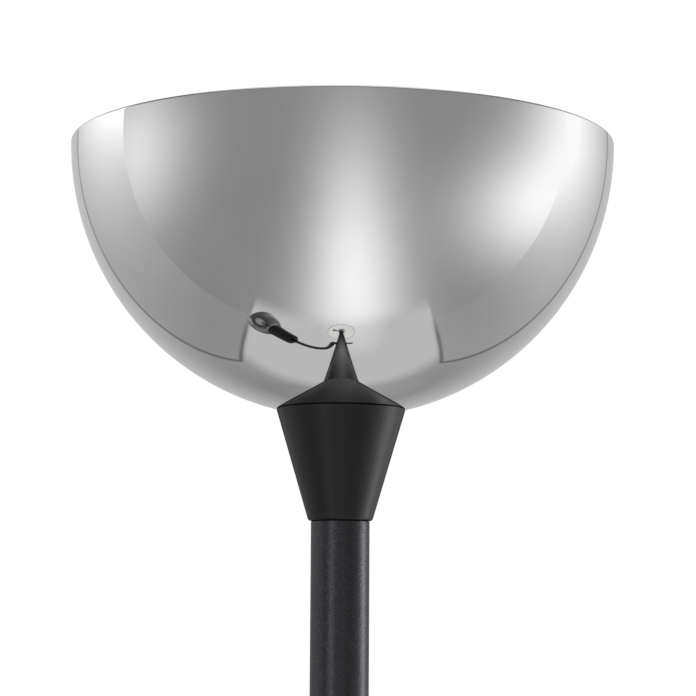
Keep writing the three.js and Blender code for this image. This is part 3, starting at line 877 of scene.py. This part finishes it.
nut_low, nut_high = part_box("dimmer_nut")
NUT, NUT_BORE = 7 * MM, 4.4 * MM
nut = [
    (NUT_BORE, nut_low.x), (6.7 * MM, nut_low.x), (NUT, nut_low.x + 0.4 * MM),
    (NUT, nut_high.x - 0.5 * MM), (6.4 * MM, nut_high.x), (NUT_BORE, nut_high.x),
]
set_up("dimmer_ring", turned(nut, steps=48, soften=0.15 * MM), "stand", ["dimmer_nut"], laid_x())

bush_low, bush_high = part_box("dimmer_bush")
BUSH, BUSH_BORE = 4.2 * MM, 1.9 * MM
bush = [(BUSH_BORE, bush_low.x), *ringed(BUSH, bush_low.x, bush_high.x, 0.75 * MM, 0.35 * MM),
        (BUSH_BORE, bush_high.x)]
set_up("dimmer_thread", turned(bush, steps=48, soften=0), "stand", ["dimmer_bush"], laid_x())

FLUTES, FLUTE_POINTS, FLUTE_DEPTH = 18, 4, 0.42 * MM
knob_low, knob_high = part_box("dimmer_knob")
knob_radius = (knob_high.z - knob_low.z) / 2
knob = bmesh.new()
bmesh.ops.create_circle(knob, cap_ends=True, segments=FLUTES * FLUTE_POINTS, radius=knob_radius)
for count, vert in enumerate(sorted(knob.verts, key=lambda v: atan2(v.co.y, v.co.x))):
    depth = FLUTE_DEPTH * (0.5 + 0.5 * cos(count * tau / FLUTE_POINTS))
    vert.co *= 1 - depth / knob_radius
pulled = bmesh.ops.extrude_face_region(knob, geom=knob.faces[:])
top = [item for item in pulled["geom"] if isinstance(item, bmesh.types.BMVert)]
bmesh.ops.translate(knob, vec=(0, 0, knob_high.x - knob_low.x), verts=top)
bmesh.ops.recalc_face_normals(knob, faces=knob.faces[:])
ends = [edge for edge in knob.edges if abs(edge.verts[0].co.z - edge.verts[1].co.z) < 1e-7]
bmesh.ops.bevel(knob, geom=ends, offset=0.45 * MM, offset_type="OFFSET", segments=3, profile=0.5,
                affect="EDGES", material=-1, clamp_overlap=True)
bmesh.ops.translate(knob, vec=(0, 0, knob_low.x), verts=knob.verts[:])
knob_piece = set_up("dimmer_grip", knob, "dimmer", ["dimmer_knob"], laid_x())
knob_piece.data.set_sharp_from_angle(angle=radians(38))     # so that the ends' faces shade flat

# %% [markdown]
# ## Reading arm
# A saddle with one end hollowed to the post's curve seats a ball elbow, which turns on its stem. The saddle
# is a short ring whose inner end is pushed onto the post.

# %% Make the saddle
saddle_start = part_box("arm_saddle")[0].x
SADDLE, SADDLE_BORE = 7.5 * MM, 5.0 * MM
saddle = tube(SADDLE_BORE, SADDLE, saddle_start, -15 * MM, steps=64, soften=0.3 * MM)
bmesh.ops.transform(saddle, matrix=laid_x(), verts=saddle.verts[:])
for vert in saddle.verts:
    if vert.co.x > -16 * MM:        # its inner end, which starts out inside the post
        on_post = -sqrt((POST_RADIUS + GAP) ** 2 - vert.co.y ** 2)
        vert.co.x = min(vert.co.x, on_post)
set_up("arm_seat", saddle, "stand", ["arm_saddle"])

# %% [markdown]
# ## Gooseneck
# A gooseneck is a steel wire wound in a tight screw, so it bends and stays put. Its centre line is one
# smooth curve through a few points. The sheath is a true screw: one turn's outline is spun while it climbs
# by its pitch, again and again, and the straight tube is then bent onto the line. Two lengths of it meet in
# the middle, each across one joint, where the arm turns into the middle stretch, and the middle stretch into
# the head. Both are laid in place on the line and do not move with the joints.

# %% The gooseneck's line
ROUTE = [(-29.5, 3, 9), (-31, 6, 26), (-34, 11, 50), (-42, 15.5, 78), (-60, 15.5, 99), (-90, 11, 102),
         (-121, 4.6, 90), (-134, 1, 85.6)]
route = [Vector((x * MM, y * MM, z * MM + ARM_LEVEL)) for x, y, z in ROUTE]


def span(a, b, c, d, share):
    """A point between b and c on the smooth curve through four points, spaced by their distances' roots."""
    before, between, after = (sqrt((q - p).length) for p, q in ((a, b), (b, c), (c, d)))
    leave = ((b - a) / before - (c - a) / (before + between) + (c - b) / between) * between
    arrive = ((c - b) / between - (d - b) / (between + after) + (d - c) / after) * between
    cubic = 2 * (b - c) + leave + arrive
    square = 3 * (c - b) - 2 * leave - arrive
    return b + leave * share + square * share ** 2 + cubic * share ** 3


fenced = [2 * route[0] - route[1], *route, 2 * route[-1] - route[-2]]
FINE = 40       # steps of the line between two points of the route
line = [span(*fenced[i:i + 4], step / FINE) for i in range(len(route) - 1) for step in range(FINE)]
line.append(route[-1])
gone = [0.0]
for first, second in zip(line, line[1:]):
    gone.append(gone[-1] + (second - first).length)
LENGTH = gone[-1]


def along(distance):
    """The point and the direction of the gooseneck's line at a distance from its start."""
    index = next((i for i, far in enumerate(gone) if far >= distance), len(gone) - 1)
    index = max(index, 1)
    step = line[index] - line[index - 1]
    share = (distance - gone[index - 1]) / step.length
    return line[index - 1] + step * share, step.normalized()


def seat_at(distance):
    """A frame on the line whose +Z runs along it."""
    point, heading = along(distance)
    return Matrix.Translation(point) @ Vector((0, 0, 1)).rotation_difference(heading).to_matrix().to_4x4()


print("gooseneck", round(LENGTH / MM, 1), "mm long")

# %% Wind the sheath
SHEATH, PITCH, GROOVE = 6.5 * MM, 3.0 * MM, 0.7 * MM
SIDES = 32
# How far along the line each thing lies: the ferrules' ends, where the stretch round each joint starts and
# stops, and where the sheath's two lengths meet.
FOOT_FERRULE = 8 * MM
FERRULE_END, TIP_END = 15.2 * MM, LENGTH - 9 * MM
LOWER_BEND, UPPER_BEND = (45.7 * MM, 77.0 * MM), (103.0 * MM, 134.3 * MM)
MEETING = 89.5 * MM


def wound(start, end):
    """A wound sheath from one distance to another along the line."""
    bm = bmesh.new()
    turns_needed = int((end - start) / PITCH)
    pitch = (end - start) / turns_needed
    section = ((0, 1), (0.16, 0.35), (0.5, 0), (0.84, 0.35))
    heights = [(SHEATH - GROOVE * sink, pitch * (i + share))
               for i in range(turns_needed) for share, sink in section]
    heights.append((SHEATH - GROOVE, pitch * turns_needed))
    verts = [bm.verts.new((r, 0, z)) for r, z in heights]
    for pair in zip(verts, verts[1:]):
        bm.edges.new(pair)
    bmesh.ops.spin(bm, geom=bm.verts[:] + bm.edges[:], cent=(0, 0, 0), axis=(0, 0, 1), angle=tau,
                   steps=SIDES, dvec=(0, 0, pitch / SIDES), use_merge=False)
    # The first and last turns are pressed flat, so that both ends are cut square.
    for vert in bm.verts:
        vert.co.z = min(max(vert.co.z, pitch), pitch * turns_needed)
    bmesh.ops.remove_doubles(bm, verts=bm.verts[:], dist=1e-6)
    bmesh.ops.dissolve_degenerate(bm, edges=bm.edges[:], dist=1e-7)
    rims = [edge for edge in bm.edges if edge.is_boundary]
    bmesh.ops.holes_fill(bm, edges=rims, sides=0)
    bmesh.ops.recalc_face_normals(bm, faces=bm.faces[:])
    up = Vector(JOINTS["neck_upper_bend"]["axis"])
    for vert in bm.verts:
        point, heading = along(min(start + vert.co.z, LENGTH))
        side = heading.cross(up).normalized()
        vert.co = point + side * vert.co.x + side.cross(heading) * vert.co.y
    return bm


lower = set_up("gooseneck_lower", wound(FERRULE_END - PITCH, MEETING), None,
               ["gooseneck_root", "gooseneck_flex_lower", "gooseneck_middle"])
upper = set_up("gooseneck_upper", wound(MEETING - PITCH, TIP_END), None,
               ["gooseneck_flex_upper", "gooseneck_tip"])
along(LOWER_BEND[0])[0]
along(LOWER_BEND[1])[0]
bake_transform(lower)
along(UPPER_BEND[0])[0]
along(UPPER_BEND[1])[0]
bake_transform(upper)

# %% [markdown]
# The elbow is one outline, flange, neck and ball, and a boss on the ball that leans along the line. A
# ferrule at each end holds the sheath: a plain turned sleeve with ridges. They sit on the line.

# %% Turn the elbow and the ferrules
BALL, STEM = 8.5 * MM, 4.6 * MM
elbow_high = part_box("arm_elbow")[1].x
stem_meets = 90 - degrees(asin(STEM / BALL))
FLANGE, FLANGE_ROOT, FLANGE_BACK, FLANGE_FRONT = 7 * MM, -20.6 * MM, -20.2 * MM, -18.6 * MM
elbow = [
    (0, ARM_PIVOT.x - BALL), *arc(0, ARM_PIVOT.x, BALL, -86, stem_meets, 20),
    (STEM, FLANGE_ROOT), (FLANGE, FLANGE_BACK), (FLANGE, FLANGE_FRONT), (STEM, FLANGE_FRONT),
    (STEM, elbow_high), (0, elbow_high),
]
elbow_turned = turned(elbow, steps=64, closed=False, soften=0.3 * MM)
bmesh.ops.transform(elbow_turned, matrix=laid_x(), verts=elbow_turned.verts[:])
# A boss carries the gooseneck, from inside the ball to a hair's width short of the foot ferrule.
BOSS, BOSS_START = 7 * MM, -17 * MM
boss = turned([(0, BOSS_START), (BOSS, BOSS_START), (BOSS, -GAP), (0, -GAP)], steps=64, closed=False)
bmesh.ops.transform(boss, matrix=seat_at(FOOT_FERRULE), verts=boss.verts[:])
boss_mesh = bpy.data.meshes.new("boss")
boss.to_mesh(boss_mesh)
boss.free()
elbow_turned.from_mesh(boss_mesh)
bpy.data.meshes.remove(boss_mesh)
set_up("arm_ball", elbow_turned, "arm", ["arm_elbow"])

grip = SHEATH + GAP
foot_sleeve = [(grip, 0), *ringed(8.2 * MM, 0, 6 * MM, 1.6 * MM, 0.4 * MM), (8.2 * MM, 8 * MM),
               (7.3 * MM, 10 * MM), (grip, 10 * MM)]
set_up("foot_ferrule", turned(foot_sleeve, steps=48, soften=0.2 * MM), "arm", ["arm_ferrule"],
       seat_at(FOOT_FERRULE))
HEAD = seat_at(LENGTH)
head_sleeve = [(grip, -12 * MM), (7.3 * MM, -12 * MM), (8.5 * MM, -10 * MM),
               *ringed(8.5 * MM, -6 * MM, -GAP, 1.6 * MM, 0.4 * MM), (grip, -GAP)]
set_up("head_sleeve", turned(head_sleeve, steps=48, soften=0.2 * MM), "head", ["head_ferrule"], HEAD)

# %% [markdown]
# ## Reading head
# The head repeats the big lamp at less than half its size: a tapered black cup, and a dark-plated shade
# held by a threaded ring on the holder. A small round opal bulb stands in it.

# %% Turn the reading head
CUP_TOP, CUP_FOOT, CUP_LENGTH = 30 * MM, 24 * MM, 78 * MM
CUP_EDGE, CUP_WALL, CUP_FLOOR = 6 * MM, 1.4 * MM, 3 * MM
SHADE, SHADE_WALL, SHADE_SEAT, SHADE_HOLE = 62 * MM, 1 * MM, 17 * MM, 11 * MM
SHADE_SKIRT, LEAD_HOLE = 9 * MM, 3 * MM
SHADE_CENTRE = CUP_LENGTH + sqrt(SHADE ** 2 - CUP_TOP ** 2) + GAP
cup = [
    (LEAD_HOLE, 0), *arc(CUP_FOOT - CUP_EDGE, CUP_EDGE, CUP_EDGE, -90, -5, 12),
    (CUP_TOP, CUP_LENGTH), (CUP_TOP - CUP_WALL, CUP_LENGTH - 0.9 * MM),
    (CUP_FOOT - CUP_WALL, CUP_EDGE + CUP_FLOOR), (CUP_FOOT - CUP_EDGE, CUP_FLOOR), (LEAD_HOLE, CUP_FLOOR),
]
set_up("reading_cup", turned(cup, steps=96, soften=0.2 * MM), "head", ["head_cup"], HEAD)
shade_shell = seated_bowl(SHADE_CENTRE, SHADE, SHADE_WALL, SHADE_SEAT, SHADE_HOLE, rings=40, steps=128,
                          soften=0.25 * MM, skirt=SHADE_SKIRT)
shade = set_up("reading_shade", shade_shell, "head", ["head_shade"], HEAD)
head_axis = HEAD.to_3x3() @ Vector((0, 0, 1))
dull_inside(shade, HEAD @ Vector((0, 0, SHADE_CENTRE)), head_axis, SHADE, SHADE_WALL)

SEAT_LEVEL = SHADE_CENTRE - sqrt(SHADE ** 2 - SHADE_SEAT ** 2) + SHADE_WALL
RING, RING_BORE = 15 * MM, 10.9 * MM
ring_low, ring_high = SEAT_LEVEL + GAP, SEAT_LEVEL + 4.5 * MM
ring = [(RING_BORE, ring_low), *ringed(RING, ring_low, ring_high, 1.2 * MM, 0.3 * MM),
        (RING_BORE, ring_high)]
set_up("shade_nut", turned(ring, steps=64, soften=0), "head", ["shade_ring"], HEAD)

MINI_LOW, MINI_HIGH, MINI_FLOOR = 30 * MM, 84 * MM, 26 * MM
MINI, MINI_BORE = 10.6 * MM, 8.4 * MM
mini_holder = [
    (LEAD_HOLE, MINI_LOW), (9 * MM, MINI_LOW), (MINI, MINI_LOW + 6 * MM),
    *ringed(MINI, SEAT_LEVEL - 4 * MM, MINI_HIGH - 3 * MM, 1.6 * MM, 0.4 * MM),
    (MINI, MINI_HIGH), (MINI_BORE, MINI_HIGH),
    (MINI_BORE, MINI_LOW + MINI_FLOOR), (LEAD_HOLE, MINI_LOW + MINI_FLOOR),
]
set_up("mini_holder", turned(mini_holder, steps=48, soften=0.2 * MM), "head", ["head_lampholder"], HEAD)
mini_cap = screw_cap(7.6 * MM, MINI_LOW + 27 * MM, MINI_HIGH + 1 * MM, 2.8 * MM, 2.5 * MM)
set_up("mini_screw", turned(mini_cap, steps=48, closed=False, soften=0.1 * MM), "head",
       ["head_bulb_cap"], HEAD)
MINI_GLOBE = 20 * MM
mini_dome = dome(MINI_HIGH + MINI_GLOBE, MINI_GLOBE, -61, GLOBE_WALL, 24)
set_up("mini_dome", turned(mini_dome, steps=64, closed=False, soften=0), "head", ["head_bulb_globe"], HEAD)

# %% [markdown]
# ## Strip lights for the dark parts
# A tall strip light on each side draws a soft line down the dark post and neck, which shows that they are
# round. The strips shine on those pieces alone, as if flags kept them off the mirror.

# %% Hang the two strip lights
dark_parts = bpy.data.collections.new("dark_parts")
for name in ("neck_cover", "post_upper", "post_middle", "post_lower", "foot_collar"):
    dark_parts.objects.link(bpy.data.objects[name])


STRIP_HEIGHT, STRIP_DISTANCE, STRIP_DROP = 2.4, 1.5, 0.7      # from the rim down to its middle


def strip_light(name, bearing_degrees, width, watts):
    """A tall strip of light that faces the post."""
    way = Vector((sin(radians(bearing_degrees)), cos(radians(bearing_degrees)), 0))
    strip = bpy.data.objects.new(name, bpy.data.lights.new(name, "AREA"))
    strip.data.shape = "RECTANGLE"
    strip.data.size = width
    strip.data.size_y = STRIP_HEIGHT
    strip.data.energy = watts
    strip.location = way * STRIP_DISTANCE + Vector((0, 0, RIM - STRIP_DROP))
    strip.rotation_euler = way.to_track_quat("Z", "Y").to_euler()
    strip.light_linking.receiver_collection = dark_parts
    scene.collection.objects.link(strip)
    print(name, watts, "W")


strip_light("strip_left", 213, 0.36, 4.8)
strip_light("strip_right", 74, 0.45, 15.0)
